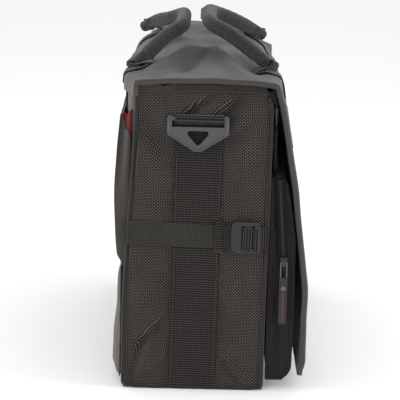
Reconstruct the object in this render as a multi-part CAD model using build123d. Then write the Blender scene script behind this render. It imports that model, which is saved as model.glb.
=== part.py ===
from build123d import *
import math
import os

# A flap-top flight bag, upright on its base, in millimetres.
# +X runs along the bag, -Y is the flap side, +Z is up; the origin is the middle of the base's underside.

# Body of the bag
LENGTH = 410.0
DEPTH = 154.0
END_TOP = 328.0
PANEL = 3.0
LINING = 1.0
BOARD = 2.5
PIPING = 3.0
BINDING_WALL = 1.2

# Webbing on the end panels
WEB_WIDTH = 50.0
WEB_THICK = 1.5
STRAP_WIDTH = 25.0
STRAP_Z = 169.5

# Shoulder strap ring
RING_WIDTH = 64.0
RING_THICK = 4.0
RING_AXIS_Z = 293.5
RING_TIP_Z = 259.5
RING_BAR_D = 4.4
LOOP_R = 2.6
LOOP_WALL = 1.4

# Ladder-lock buckle on the side strap
LOCK_PIVOT_Y = -63.5
LOCK_TAB_Y = -37.0
LOCK_HEIGHT = 33.0
LOCK_THICK = 4.0

# Front pocket, as corners (y, z) of its side profile
POCKET_HALF = 195.0
POCKET_WALL = 2.0
POCKET_TOP = 228.0
POCKET_EDGE = [(-77.0, 10.0), (-97.0, 12.0), (-105.0, 22.0), (-105.0, 165.0), (-94.0, POCKET_TOP)]
ZIP_LOW = (-94.0, 132.0)
ZIP_HIGH = (-86.6, POCKET_TOP)
TAPE_HALF = 4.5
TAPE_THICK = 1.0
COIL_HALF = 1.4
COIL_THICK = 1.2
SLIDER_Z = 141.0

# Zip across the upper front panel
UPPER_ZIP_Z = 299.0
UPPER_ZIP_HALF = 180.0
UPPER_SLIDER_X = -167.0

# Zip pull
PULL_WIRE_DROP = 19.0
PULL_TAB_TOP = 16.5
PULL_TAB_LENGTH = 51.0
PULL_TAB_WIDTH = 8.6
PULL_TAB_THICK = 3.0
PULL_RIVET_DROP = 28.0
PULL_RIVET_D = 5.0
WIRE = 1.2
SLIDER_LENGTH = 10.0
SLIDER_WIDTH = 7.5
SLIDER_THICK = 2.4
BRIDGE = 2.8

# Back pocket and back pad
BACK_POCKET_Y = 95.0
BACK_POCKET_HALF = 200.0
BACK_POCKET_LOW = 136.0
BACK_POCKET_MOUTH = 295.0
BACK_POCKET_CORNER = 254.0
BACK_POCKET_WALL = 2.5

# Flap
FLAP_HINGE = (76.0, 331.0)
FLAP_FOLD = (-83.0, 333.0)
FLAP_HALF = 206.0
FLAP_TOP_THICK = 4.0
FLAP_CROWN = 11.0
FLAP_THICK = 5.0
FLAP_KNEE = (-111.0, 150.0)
FLAP_HEM_Z = 18.0
FLAP_LINING = 0.8

# Carry handles: a webbing-wrapped core bent to a U, in a plane that leans inwards over the flap
HANDLE_SPAN = 260.0
HANDLE_GRIP_SPAN = 124.0
HANDLE_REACH = 80.0
HANDLE_BEND = 40.0
HANDLE_R = 8.5
CORE_R = 6.5
HANDLE_LEAN = 28.0
HANDLE_TUBE_START = 12.0
TAB_WIDTH = 30.0
TAB_THICK = 2.4
FOLD_R = 2.0
LEG_THICK = 1.8
BACK_LEG_Z = (262.0, 318.0)
FRONT_LEG_LOW = 255.0
BACK_PIVOT = (85.0, 341.0)
FRONT_PIVOT = (-86.0, 342.0)

HALF_L = LENGTH / 2
HALF_D = DEPTH / 2


def block(x, y, z):
    """A box given by its (low, high) along each axis."""
    size = [high - low for low, high in (x, y, z)]
    middle = [(low + high) / 2 for low, high in (x, y, z)]
    return Pos(*middle) * Box(*size)


def slab(corners, x0, x1):
    """A side profile given as (y, z) corners, extruded along X."""
    outline = Polyline(*[(x0, y, z) for y, z in corners], close=True)
    return extrude(make_face(outline), amount=x1 - x0, dir=(1, 0, 0))


def shifted(line, distance):
    """A (y, z) line moved sideways by a distance, to the right of its direction of travel."""
    moved = []
    for i, (y, z) in enumerate(line):
        normals = []
        for a, b in ((i - 1, i), (i, i + 1)):
            if a >= 0 and b < len(line):
                dy, dz = line[b][0] - line[a][0], line[b][1] - line[a][1]
                run = math.hypot(dy, dz)
                normals.append((dz / run, -dy / run))
        ny = sum(n[0] for n in normals) / len(normals)
        nz = sum(n[1] for n in normals) / len(normals)
        scale = distance / (ny * ny + nz * nz)
        moved.append((y + ny * scale, z + nz * scale))
    return moved


def band(line, thickness, x0, x1):
    """A strip that follows a (y, z) line, with its thickness on the right of the direction of travel."""
    return slab(line + shifted(line, thickness)[::-1], x0, x1)


def mirrored(solid):
    """The same piece at the other end of the bag."""
    return mirror(solid, about=Plane.YZ)


def pair(solid):
    """The piece and its twin at the other end, as one node of two solids."""
    return Compound(children=[*solid.solids(), *mirrored(solid).solids()])


def rod_along_y(x, z, radius, y0, y1):
    return Pos(x, (y0 + y1) / 2, z) * Rot(90, 0, 0) * Cylinder(radius, y1 - y0)


def rod_along_z(x, y, radius, z0, z1):
    return Pos(x, y, (z0 + z1) / 2) * Cylinder(radius, z1 - z0)


def rod_along_x(y, z, radius, x0, x1):
    return Pos((x0 + x1) / 2, y, z) * Rot(0, 90, 0) * Cylinder(radius, x1 - x0)


def save(name, shape):
    shape.label = name
    export_step(shape, f"parts/{name}.step")


# ---------------------------------------------------------------- body panels


def make_body():
    inner_l = HALF_L - PANEL
    inner_d = HALF_D - PANEL
    save("bottom_panel", block((-HALF_L, HALF_L), (-HALF_D, HALF_D), (0, PANEL)))
    board_top = PANEL + BOARD
    save("base_board", block((2 - inner_l, inner_l - 2), (2 - inner_d, inner_d - 2), (PANEL, board_top)))
    save("front_panel", block((-inner_l, inner_l), (-HALF_D, -inner_d), (PANEL, END_TOP - 6)))
    save("back_panel", block((-inner_l, inner_l), (inner_d, HALF_D), (PANEL, END_TOP - 1)))
    end_panel = block((-HALF_L, -inner_l), (-HALF_D, HALF_D), (PANEL, END_TOP))
    save("end_panel_left", end_panel)
    save("end_panel_right", mirrored(end_panel))

    lining_top = END_TOP - 10
    lining = block((-inner_l, inner_l), (-inner_d, inner_d), (board_top, lining_top))
    lining -= block(
        (LINING - inner_l, inner_l - LINING),
        (LINING - inner_d, inner_d - LINING),
        (board_top + LINING, lining_top),
    )
    save("main_lining", lining)

    binding = block(
        (-HALF_L - BINDING_WALL, -inner_l + BINDING_WALL),
        (-HALF_D + 5, 30),
        (lining_top, END_TOP + BINDING_WALL),
    )
    save("end_bindings", pair(binding - end_panel))


def make_end_piping():
    """Corded piping in the seam round each end panel: up both sides and along the base."""
    outer_y = HALF_D + PIPING / 2
    inner_y = outer_y - PIPING
    x = (-HALF_L - 2.4, -HALF_L)
    piping = block(x, (-outer_y, outer_y), (1, END_TOP - 12))
    piping -= block(x, (-inner_y, inner_y), (1 + PIPING, END_TOP - 12))
    save("end_pipings", pair(piping))


# ---------------------------------------------------------------- end webbing, ring, side strap

WEB_FACE = -HALF_L - WEB_THICK
STRAP_FACE = WEB_FACE - WEB_THICK
RING_X = WEB_FACE - LOOP_R - 0.9


def make_end_webbing():
    """The 50 mm webbing up each end panel, ending in the loop that carries the ring."""
    half = WEB_WIDTH / 2
    strip = block((WEB_FACE, -HALF_L), (-half, half), (1 + PIPING, RING_AXIS_Z))
    loop = rod_along_y(RING_X, RING_AXIS_Z, LOOP_R + LOOP_WALL, -half, half)
    hollow = rod_along_y(RING_X, RING_AXIS_Z, LOOP_R, -half, half)
    webbing = strip + loop - hollow
    save("end_webbing_left", webbing)
    save("end_webbing_right", mirrored(webbing))


def make_ring():
    """The moulded ring: a round bar in the webbing loop, a slot under it and a rounded triangular eye."""
    half = RING_WIDTH / 2
    outline = Polygon(
        (-half, RING_AXIS_Z + 3), (half, RING_AXIS_Z + 3), (half, 277),
        (4, RING_TIP_Z), (-4, RING_TIP_Z), (-half, 277), align=None,
    )
    outline = fillet(outline.vertices(), 3)
    slot = Pos(0, 293) * Rectangle(2 * (half - 5), 16)
    eye = Polygon((-14.5, 281), (14.5, 281), (0, 264.5), align=None)
    eye = fillet(eye.vertices(), 3)
    face = Plane.YZ.offset(RING_X - RING_THICK / 2) * (outline - slot - eye)
    plate = extrude(face, RING_THICK, dir=(1, 0, 0))
    ring = plate + rod_along_y(RING_X, RING_AXIS_Z, RING_BAR_D / 2, 4 - half, half - 4)
    save("strap_ring_left", ring)
    save("strap_ring_right", mirrored(ring))


def make_side_strap():
    """The 25 mm side strap from the back seam to the buckle, with its keeper."""
    z = (STRAP_Z - STRAP_WIDTH / 2, STRAP_Z + STRAP_WIDTH / 2)
    strap = block((STRAP_FACE, WEB_FACE), (-45, 75), z)
    strap += block((WEB_FACE, -HALF_L), (60, 75), z)
    save("side_strap_left", strap)
    save("side_strap_right", mirrored(strap))

    keeper = block((STRAP_FACE - BINDING_WALL, WEB_FACE), (-28, -19), (z[0] - 1.5, z[1] + 1.5))
    keeper -= block((STRAP_FACE, WEB_FACE), (-28, -19), z)
    for low in (z[0] - 1.5, z[1]):
        keeper += block((WEB_FACE, -HALF_L), (-28, -25), (low, low + 1.5))
    save("strap_keepers", pair(keeper))


def make_ladder_lock():
    """The ladder-lock buckle, the webbing loop that anchors its front bar, and the strap over its middle bar."""
    x_mid = STRAP_FACE - 3
    x = (x_mid - LOCK_THICK / 2, x_mid + LOCK_THICK / 2)
    z = (STRAP_Z - LOCK_HEIGHT / 2, STRAP_Z + LOCK_HEIGHT / 2)
    gap = (STRAP_Z - STRAP_WIDTH / 2, STRAP_Z + STRAP_WIDTH / 2)
    lock = block(x, (LOCK_PIVOT_Y - 2.5, LOCK_TAB_Y), z)
    lock = fillet(lock.edges().filter_by(Axis.X).group_by(Axis.Y)[-1], 6)
    lock -= block(x, (LOCK_PIVOT_Y - 2.5, -57), gap)
    lock -= block(x, (-51.5, -47.5), gap)
    lock += rod_along_z(x_mid, LOCK_PIVOT_Y, RING_BAR_D / 2, gap[0] - 1, gap[1] + 1)
    save("ladder_lock_left", lock)
    save("ladder_lock_right", mirrored(lock))

    web = (gap[0] + 0.2, gap[1] - 0.2)
    anchor = block((WEB_FACE, -HALF_L), (-75, LOCK_PIVOT_Y + 3), web)
    anchor += block((STRAP_FACE, WEB_FACE), (LOCK_PIVOT_Y - 2.5, LOCK_PIVOT_Y + 2.5), web)
    anchor += rod_along_z(x_mid, LOCK_PIVOT_Y, LOOP_R + LOOP_WALL, *web)
    anchor -= rod_along_z(x_mid, LOCK_PIVOT_Y, LOOP_R, *web)
    save("lock_anchors", pair(anchor))

    thread = block((x[0] - 1.4, x[1] - 0.5), (-58.2, -50.1), web)
    thread -= block((x[0] - 0.2, x[1] - 0.5), (-57.2, -51.3), web)
    save("strap_thread_left", thread)
    save("strap_thread_right", mirrored(thread))


# ---------------------------------------------------------------- front pocket


def make_pocket():
    """The bellows pocket on the front panel: two side gussets, a bottom, a top and a bent face."""
    inside = POCKET_HALF - POCKET_WALL
    gusset = slab([*POCKET_EDGE, (-HALF_D, POCKET_TOP)], -POCKET_HALF, -inside)
    save("pocket_gusset_left", gusset)
    save("pocket_gusset_right", mirrored(gusset))
    outside = block((-LENGTH, LENGTH), (-DEPTH, -HALF_D), (0, END_TOP))
    whole = band(POCKET_EDGE, POCKET_WALL, -inside, inside) & outside
    seam_z = POCKET_EDGE[2][1]
    below = block((-inside, inside), (-DEPTH, -HALF_D), (0, seam_z))
    save("pocket_gusset_bottom", whole & below)
    face = whole - below
    top = block((-inside, inside), (-DEPTH, -HALF_D), (POCKET_TOP - POCKET_WALL, POCKET_TOP))
    lid = slab([*POCKET_EDGE, (-HALF_D, POCKET_TOP)], -inside, inside) & top
    save("pocket_gusset_top", lid - face)
    save("pocket_face", face)
    piping = band(POCKET_EDGE, 2.5, -POCKET_HALF - 1.6, -POCKET_HALF)
    save("pocket_pipings", pair(piping & outside))


def zip_run(half, out, proud, low_gap):
    """Half of the zip's side run, a strip between two distances from the gusset, closed over the top edge."""
    low = (ZIP_LOW[0], ZIP_LOW[1] + low_gap)
    high = (ZIP_HIGH[0], ZIP_HIGH[1] + out + proud)
    corners = [
        (low[0] - half, low[1]), (low[0] + half, low[1]),
        (high[0] + half, high[1]), (high[0] - half, high[1]),
    ]
    side = slab(corners, -POCKET_HALF - out - proud, -POCKET_HALF - out)
    reach = POCKET_HALF + out + proud
    top = block(
        (-reach, reach),
        (ZIP_HIGH[0] - half, ZIP_HIGH[0] + half),
        (POCKET_TOP + out, POCKET_TOP + out + proud),
    )
    return side + top + mirrored(side)


def make_pocket_zip():
    """The zip up both side gussets and across the top of the pocket."""
    save("pocket_zip_tape", zip_run(TAPE_HALF, 0, TAPE_THICK, 0))
    save("pocket_zip_coil", zip_run(COIL_HALF, TAPE_THICK, COIL_THICK, 2))
    pads = block((50, 110), (-107, POCKET_EDGE[3][0]), (45, 70))
    save("pocket_loop_pads", pair(pads))


def make_upper_zip():
    face = -HALF_D
    tape = block((-UPPER_ZIP_HALF, UPPER_ZIP_HALF), (face - 1, face), (UPPER_ZIP_Z - 8, UPPER_ZIP_Z + 8))
    save("upper_zip_tape", tape)
    reach = UPPER_ZIP_HALF - 4
    coil = block((-reach, reach), (face - 2, face - 1), (UPPER_ZIP_Z - 1.4, UPPER_ZIP_Z + 1.4))
    save("upper_zip_coil", coil)


def slider_body(height):
    """A zip slider's body in its own frame: base at z = 0, pull side +Z, travel along X."""
    body = Pos(0, 0, height / 2) * Box(SLIDER_LENGTH, SLIDER_WIDTH, height)
    return fillet(body.edges().filter_by(Axis.Z), 1.5)


def pull_pieces(bail_rise):
    """A zip pull in its own frame: hinge at the origin, hanging down -Z, flat in the XZ plane."""
    middle = Pos(0, bail_rise - PULL_WIRE_DROP / 2)
    outer = middle * RectangleRounded(6.4 + WIRE, PULL_WIRE_DROP + WIRE, 2.2)
    inner = middle * RectangleRounded(6.4 - WIRE, PULL_WIRE_DROP - WIRE, 1)
    bail = extrude(Plane.XZ * (outer - inner), WIRE / 2, both=True)

    tab = Pos(0, 0, -PULL_TAB_TOP - PULL_TAB_LENGTH / 2) * Box(PULL_TAB_WIDTH, PULL_TAB_THICK, PULL_TAB_LENGTH)
    tab = fillet(tab.edges().filter_by(Axis.Y), 2)
    notch_depth = PULL_WIRE_DROP - bail_rise + WIRE - PULL_TAB_TOP
    tab -= Pos(0, 0, -PULL_TAB_TOP - notch_depth / 2) * Box(PULL_TAB_WIDTH, WIRE + 0.3, notch_depth)
    across = Pos(0, 0, -PULL_RIVET_DROP) * Rot(90, 0, 0)
    rivet = across * Cylinder(PULL_RIVET_D / 2, PULL_TAB_THICK + 1)
    return bail, tab - rivet, rivet


def zip_y(z):
    """Where the pocket zip's centre line is at a height."""
    share = (z - ZIP_LOW[1]) / (ZIP_HIGH[1] - ZIP_LOW[1])
    return ZIP_LOW[0] + share * (ZIP_HIGH[0] - ZIP_LOW[0])


def make_pocket_slider():
    """The pocket zip's slider, with its wire bail, rubber pull and rivet, on the left gusset."""
    lean = math.degrees(math.atan2(ZIP_HIGH[0] - ZIP_LOW[0], ZIP_HIGH[1] - ZIP_LOW[1]))
    base_x = -POCKET_HALF - TAPE_THICK - COIL_THICK - 0.3
    bridge = Pos(0, 0, SLIDER_THICK + BRIDGE / 2) * Box(8, 2.4, BRIDGE)
    eye = Pos(0, 0, SLIDER_THICK + BRIDGE / 2) * Rot(90, 0, 0) * Cylinder(WIRE * 0.8, 4)
    middle = Pos(base_x, zip_y(SLIDER_Z), SLIDER_Z)
    slider = middle * Rot(-lean, 0, 0) * Rot(0, -90, 0) * (slider_body(SLIDER_THICK) + bridge)
    save("pocket_slider", slider - middle * Rot(0, -90, 0) * eye)
    hinge = Pos(base_x - SLIDER_THICK - BRIDGE / 2, zip_y(SLIDER_Z), SLIDER_Z) * Rot(0, 0, 90)
    for name, piece in zip(("bail", "tab", "rivet"), pull_pieces(0)):
        save(f"pocket_pull_{name}", hinge * piece)


def make_upper_slider():
    """The upper zip's slider: its pull hangs on a headed stud and swings along the panel."""
    base_y = -HALF_D - 2.3
    body_thick = SLIDER_THICK - 0.8
    stud = Pos(0, 0, body_thick + 1) * Cylinder(1.1, 2)
    head = Pos(0, 0, body_thick + 2.3) * Cylinder(2.4, 0.6)
    place = Pos(UPPER_SLIDER_X, base_y, UPPER_ZIP_Z) * Rot(90, 0, 0)
    save("upper_slider", place * (slider_body(body_thick) + stud + head))
    hinge = Pos(UPPER_SLIDER_X, base_y - body_thick - 1, UPPER_ZIP_Z)
    for name, piece in zip(("bail", "tab", "rivet"), pull_pieces(1.1 + WIRE / 2 + 0.15)):
        save(f"upper_pull_{name}", hinge * piece)


# ---------------------------------------------------------------- back


def make_back():
    """The slip pocket on the upper back with its lining, and the padded panel below it."""
    wall = BACK_POCKET_WALL
    inside = BACK_POCKET_HALF - wall
    outer_y = BACK_POCKET_Y
    face = block((-inside, inside), (outer_y - wall, outer_y), (BACK_POCKET_LOW, BACK_POCKET_MOUTH))
    floor = block((-inside, inside), (HALF_D, outer_y - wall), (BACK_POCKET_LOW, BACK_POCKET_LOW + wall))
    side_profile = [
        (HALF_D, BACK_POCKET_LOW), (outer_y, BACK_POCKET_LOW),
        (outer_y, BACK_POCKET_MOUTH), (HALF_D, BACK_POCKET_CORNER),
    ]
    side = slab(side_profile, -BACK_POCKET_HALF, -inside)
    save("back_pocket_panel", face + floor + side + mirrored(side))

    skin = FLAP_LINING
    line_y = outer_y - wall
    lining = block((-inside, inside), (line_y - skin, line_y), (BACK_POCKET_LOW + wall, BACK_POCKET_MOUTH))
    lining += block(
        (-inside, inside), (HALF_D, line_y), (BACK_POCKET_LOW + wall, BACK_POCKET_LOW + wall + skin)
    )
    save("back_pocket_lining", lining)

    pad = block((-BACK_POCKET_HALF, BACK_POCKET_HALF), (HALF_D, HALF_D + 15), (6, BACK_POCKET_LOW - 3))
    outer_edges = pad.faces().sort_by(Axis.Y)[-1].edges()
    save("lower_back_pad", fillet(outer_edges, 8))


# ---------------------------------------------------------------- flap


def flap_arch(offset, y0, y1):
    """(y, z) points of the flap top's arch, raised by an offset, from y0 to y1."""
    middle = (FLAP_HINGE[0] + FLAP_FOLD[0]) / 2
    half = (FLAP_HINGE[0] - FLAP_FOLD[0]) / 2
    steps = 8
    points = []
    for i in range(steps + 1):
        y = y0 + (y1 - y0) * i / steps
        rise = FLAP_CROWN * (1 - ((y - middle) / half) ** 2)
        points.append((y, FLAP_HINGE[1] + rise + offset))
    return points


def make_flap():
    """The flap: an arched top and a front that slopes out over the pocket, each with lining and bound edges."""
    back, front = FLAP_HINGE[0] - 0.5, FLAP_FOLD[0] + 2.5
    top_profile = flap_arch(0, back, front) + flap_arch(FLAP_TOP_THICK, back, front)[::-1]
    save("flap_top", slab(top_profile, -FLAP_HALF, FLAP_HALF))
    under = flap_arch(-FLAP_LINING, back, front) + flap_arch(0, back, front)[::-1]
    save("flap_top_lining", slab(under, 2 - FLAP_HALF, FLAP_HALF - 2))
    edge = flap_arch(-0.5, back, front) + flap_arch(FLAP_TOP_THICK + 0.5, back, front)[::-1]
    save("flap_top_bindings", pair(slab(edge, -FLAP_HALF - 2, -FLAP_HALF)))

    inner = [(FLAP_FOLD[0] + 1, FLAP_FOLD[1] - 3), FLAP_KNEE, (FLAP_KNEE[0], FLAP_HEM_Z)]
    save("flap_front", band(inner, FLAP_THICK, -FLAP_HALF, FLAP_HALF))
    save("flap_front_lining", band(inner, -FLAP_LINING, 2 - FLAP_HALF, FLAP_HALF - 2))
    reach = FLAP_HALF + 2
    side = band(shifted(inner, -0.5), FLAP_THICK + 1, -reach, -FLAP_HALF)
    hem_y = (FLAP_KNEE[0] - FLAP_THICK - 0.5, FLAP_KNEE[0] + 0.5)
    hem = block((-reach, reach), hem_y, (FLAP_HEM_Z - 2, FLAP_HEM_Z))
    save("flap_front_binding", side + hem + mirrored(side))
    pad_y = (FLAP_KNEE[0] + FLAP_LINING, FLAP_KNEE[0] + FLAP_LINING + 2.8)
    save("flap_hook_pads", pair(block((50, 110), pad_y, (45, 70))))


# ---------------------------------------------------------------- handles


def handle_plane(pivot, inward):
    """The plane of a handle: X along the bag, Y from the pivot line up and inwards."""
    lean = math.radians(HANDLE_LEAN)
    up = Vector(0, inward * math.cos(lean), math.sin(lean))
    return Plane(origin=(0, *pivot), x_dir=(1, 0, 0), z_dir=Vector(1, 0, 0).cross(up))


def make_handle(name, pivot, inward):
    """A rolled webbing grip round a core, with the flat tabs that join it to its legs."""
    plane = handle_plane(pivot, inward)
    foot, top = HANDLE_SPAN / 2, HANDLE_GRIP_SPAN / 2
    corners = [(-foot, HANDLE_TUBE_START), (-top, HANDLE_REACH), (top, HANDLE_REACH), (foot, HANDLE_TUBE_START)]
    path = plane * FilletPolyline(*corners, radius=HANDLE_BEND)
    start = Plane(origin=path @ 0, z_dir=path % 0)
    outer = sweep(start * Circle(HANDLE_R), path)
    hollow = sweep(start * Circle(CORE_R + 0.1), path)
    save(f"{name}_grip", outer - hollow)
    save(f"{name}_core", sweep(start * Circle(CORE_R), path))
    tab = Pos(-foot, (HANDLE_TUBE_START + 3) / 2, 0) * Box(TAB_WIDTH, HANDLE_TUBE_START - 3, TAB_THICK)
    save(f"{name}_tabs", pair(plane * tab))


def make_handle_legs():
    """The webbing legs sewn up the back panel and down the flap front, and the folds where the handles hang."""
    x = (-HANDLE_SPAN / 2 - TAB_WIDTH / 2, -HANDLE_SPAN / 2 + TAB_WIDTH / 2)
    save("back_handle_legs", pair(block(x, (HALF_D, HALF_D + LEG_THICK), BACK_LEG_Z)))
    save("back_handle_folds", pair(rod_along_x(*BACK_PIVOT, FOLD_R, *x)))
    save("front_handle_folds", pair(rod_along_x(*FRONT_PIVOT, FOLD_R, *x)))

    slope = (FLAP_KNEE[0] - FLAP_FOLD[0] - 1) / (FLAP_KNEE[1] - FLAP_FOLD[1] + 3)
    heights = (FLAP_FOLD[1] - 5, FRONT_LEG_LOW)
    line = [(FLAP_FOLD[0] + 1 + slope * (z - FLAP_FOLD[1] + 3), z) for z in heights]
    outer = shifted(line, FLAP_THICK)
    save("front_handle_legs", pair(band(outer, LEG_THICK, *x)))


os.makedirs("parts", exist_ok=True)
make_body()
make_end_piping()
make_end_webbing()
make_ring()
make_side_strap()
make_ladder_lock()
make_pocket()
make_pocket_zip()
make_pocket_slider()
make_upper_zip()
make_upper_slider()
make_back()
make_flap()
make_handle_legs()
make_handle("back_handle", BACK_PIVOT, -1)
make_handle("front_handle", FRONT_PIVOT, 1)
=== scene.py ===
import math

import bmesh
import bpy
from mathutils import Matrix, Vector, noise


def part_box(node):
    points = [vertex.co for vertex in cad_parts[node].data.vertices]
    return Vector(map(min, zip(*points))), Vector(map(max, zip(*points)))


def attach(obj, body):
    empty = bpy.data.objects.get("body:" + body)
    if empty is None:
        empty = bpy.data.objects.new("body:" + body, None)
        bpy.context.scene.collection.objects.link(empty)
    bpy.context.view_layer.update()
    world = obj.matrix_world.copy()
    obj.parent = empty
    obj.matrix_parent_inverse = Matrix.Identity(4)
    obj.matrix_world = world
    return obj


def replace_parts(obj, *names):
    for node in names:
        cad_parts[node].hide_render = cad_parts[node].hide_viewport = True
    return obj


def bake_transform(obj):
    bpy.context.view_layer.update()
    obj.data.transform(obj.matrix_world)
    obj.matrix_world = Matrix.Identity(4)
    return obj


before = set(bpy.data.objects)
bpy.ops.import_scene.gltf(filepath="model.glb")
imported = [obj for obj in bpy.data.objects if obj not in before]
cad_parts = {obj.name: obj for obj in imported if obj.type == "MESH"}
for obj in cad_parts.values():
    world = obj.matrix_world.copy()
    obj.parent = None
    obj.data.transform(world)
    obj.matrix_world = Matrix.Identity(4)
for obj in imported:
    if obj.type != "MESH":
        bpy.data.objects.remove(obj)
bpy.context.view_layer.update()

# ---------------------------------------------------------------- Floor, light and camera
# A pale paper sweep under soft studio panels, seen from the bag's narrow end and a little above its top.


def hex_linear(code):
    """An sRGB hex colour as linear RGBA."""
    parts = [int(code[i:i + 2], 16) / 255 for i in (0, 2, 4)]
    return [c / 12.92 if c <= 0.04045 else ((c + 0.055) / 1.055) ** 2.4 for c in parts] + [1.0]


def node(tree, kind, inputs=None, **settings):
    """Adds a node, sets its properties, then sets or links its inputs."""
    made = tree.nodes.new(kind)
    for name, value in settings.items():
        setattr(made, name, value)
    for key, value in (inputs or {}).items():
        if isinstance(value, bpy.types.NodeSocket):
            tree.links.new(value, made.inputs[key])
        else:
            made.inputs[key].default_value = value
    return made


def new_material(name):
    """A node material with its nodes cleared, and its tree."""
    material = bpy.data.materials.new(name)
    material.use_nodes = True
    material.node_tree.nodes.clear()
    return material, material.node_tree


def finish_material(tree, shader):
    node(tree, "ShaderNodeOutputMaterial", {"Surface": shader.outputs[0]})


def mix(tree, factor, low, high):
    """A blend of two sRGB hex colours by a factor socket."""
    inputs = {"Factor": factor, 6: hex_linear(low), 7: hex_linear(high)}
    return node(tree, "ShaderNodeMix", inputs, data_type="RGBA").outputs[2]


def mottled(name, low, high, scale, detail, roughness, **shader):
    """A solid material whose colour wanders between two hex colours."""
    material, tree = new_material(name)
    spots = node(tree, "ShaderNodeTexNoise", {"Scale": scale, "Detail": detail})
    finish_material(tree, node(tree, "ShaderNodeBsdfPrincipled", {
        "Base Color": mix(tree, spots.outputs["Fac"], low, high), "Roughness": roughness, **shader}))
    return material


def plain(name, colour, roughness, **shader):
    material, tree = new_material(name)
    finish_material(tree, node(tree, "ShaderNodeBsdfPrincipled", {
        "Base Color": hex_linear(colour), "Roughness": roughness, **shader}))
    return material


def link_object(name, mesh):
    made = bpy.data.objects.new(name, mesh)
    bpy.context.scene.collection.objects.link(made)
    return made


paper = mottled("studio_paper", "fafaf9", "fdfdfc", 40.0, 4.0, 0.9)
floor_mesh = bpy.data.meshes.new("floor")
reach = 9.0
corners = [(x * reach, y * reach, 0) for x, y in ((-1, -1), (1, -1), (1, 1), (-1, 1))]
floor_mesh.from_pydata(corners, [], [(0, 1, 2, 3)])
floor = link_object("floor", floor_mesh)
floor_mesh.materials.append(paper)

world = bpy.data.worlds.new("studio")
bpy.context.scene.world = world
world.use_nodes = True
world.node_tree.nodes["Background"].inputs[0].default_value = (1.0, 1.0, 1.0, 1.0)
world.node_tree.nodes["Background"].inputs[1].default_value = 0.94
bpy.context.scene.view_settings.view_transform = "Standard"


def soft_light(name, place, target, size, power):
    lamp = bpy.data.lights.new(name, "AREA")
    lamp.shape = "SQUARE"
    lamp.size = size
    lamp.energy = power
    lit = bpy.data.objects.new(name, lamp)
    lit.location = place
    lit.rotation_euler = (Vector(target) - Vector(place)).to_track_quat("-Z", "Y").to_euler()
    bpy.context.scene.collection.objects.link(lit)


soft_light("left_panel", (-0.3, 1.7, 0.45), (0, 0, 0.2), 0.9, 24)
soft_light("right_panel", (-0.3, -1.7, 0.5), (0, 0, 0.2), 0.9, 25)

camera = bpy.data.objects.new("camera", bpy.data.cameras.new("camera"))
bpy.context.scene.collection.objects.link(camera)
bpy.context.scene.camera = camera
camera.data.sensor_width = 36.0
camera.data.lens = 146.2
camera.location = (-1.852, -0.007, 0.581)
yaw, pitch, roll = (math.radians(a) for a in (0.12, 12.79, 1.29))
forward = Vector((math.cos(pitch) * math.cos(yaw), math.cos(pitch) * math.sin(yaw), -math.sin(pitch)))
right = forward.cross(Vector((0, 0, 1))).normalized()
up = right.cross(forward)
side = right * math.cos(roll) + up * math.sin(roll)
top = up * math.cos(roll) - right * math.sin(roll)
camera.rotation_euler = Matrix((side, top, -forward)).transposed().to_euler()

# ---------------------------------------------------------------- Bag body
# Ballistic nylon laminated to thin foam, cut as two end panels and one wrap, and sewn inside out, so that
# it sags between its seams: folds run in from the ring, and the bottom corners crumple.

MM = 0.001
X_AXIS, Y_AXIS, Z_AXIS = (Vector(axis) for axis in ((1, 0, 0), (0, 1, 0), (0, 0, 1)))
HALF_L, HALF_D, END_TOP = 205.0, 77.0, 328.0


def smooth(low, high, value):
    t = min(1.0, max(0.0, (value - low) / (high - low)))
    return t * t * (3 - 2 * t)


def wander(*place):
    """A smooth value from -1 to 1 that wanders from place to place."""
    return noise.noise(Vector(place))


def ridge(u, v, start, end, width, height, taper=0.25):
    """A soft raised fold along a line in a panel's own (u, v), fading out at both ends."""
    du, dv = end[0] - start[0], end[1] - start[1]
    length = math.hypot(du, dv)
    along = ((u - start[0]) * du + (v - start[1]) * dv) / length
    across = ((u - start[0]) * dv - (v - start[1]) * du) / length
    fade_in = smooth(-taper * length, taper * length, along)
    fade = fade_in * (1 - smooth(length * (1 - taper), length * (1 + taper), along))
    return height * fade * math.exp(-((across / width) ** 2))


def build(name, verts, faces, material, uvs=None, period=None):
    """A mesh object from points in millimetres. uvs places the weave, in millimetres, one for each point; round a
    closed section it starts again after a period."""
    mesh = bpy.data.meshes.new(name)
    mesh.from_pydata([tuple(c * MM for c in v) for v in verts], [], faces)
    if uvs:
        layer = mesh.uv_layers.new(name="cloth")
        for poly in mesh.polygons:
            reach = max(uvs[v][0] for v in poly.vertices)
            for loop, v in zip(poly.loop_indices, poly.vertices):
                u = uvs[v][0]
                if period and reach - u > period / 2:
                    u += period
                layer.data[loop].uv = (u * MM, uvs[v][1] * MM)
    mesh.validate()
    shape = bmesh.new()
    shape.from_mesh(mesh)
    bmesh.ops.recalc_face_normals(shape, faces=shape.faces)
    shape.to_mesh(mesh)
    shape.free()
    mesh.polygons.foreach_set("use_smooth", [True] * len(mesh.polygons))
    mesh.set_sharp_from_angle(angle=math.radians(50))
    mesh.materials.append(material)
    return link_object(name, mesh)


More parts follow.
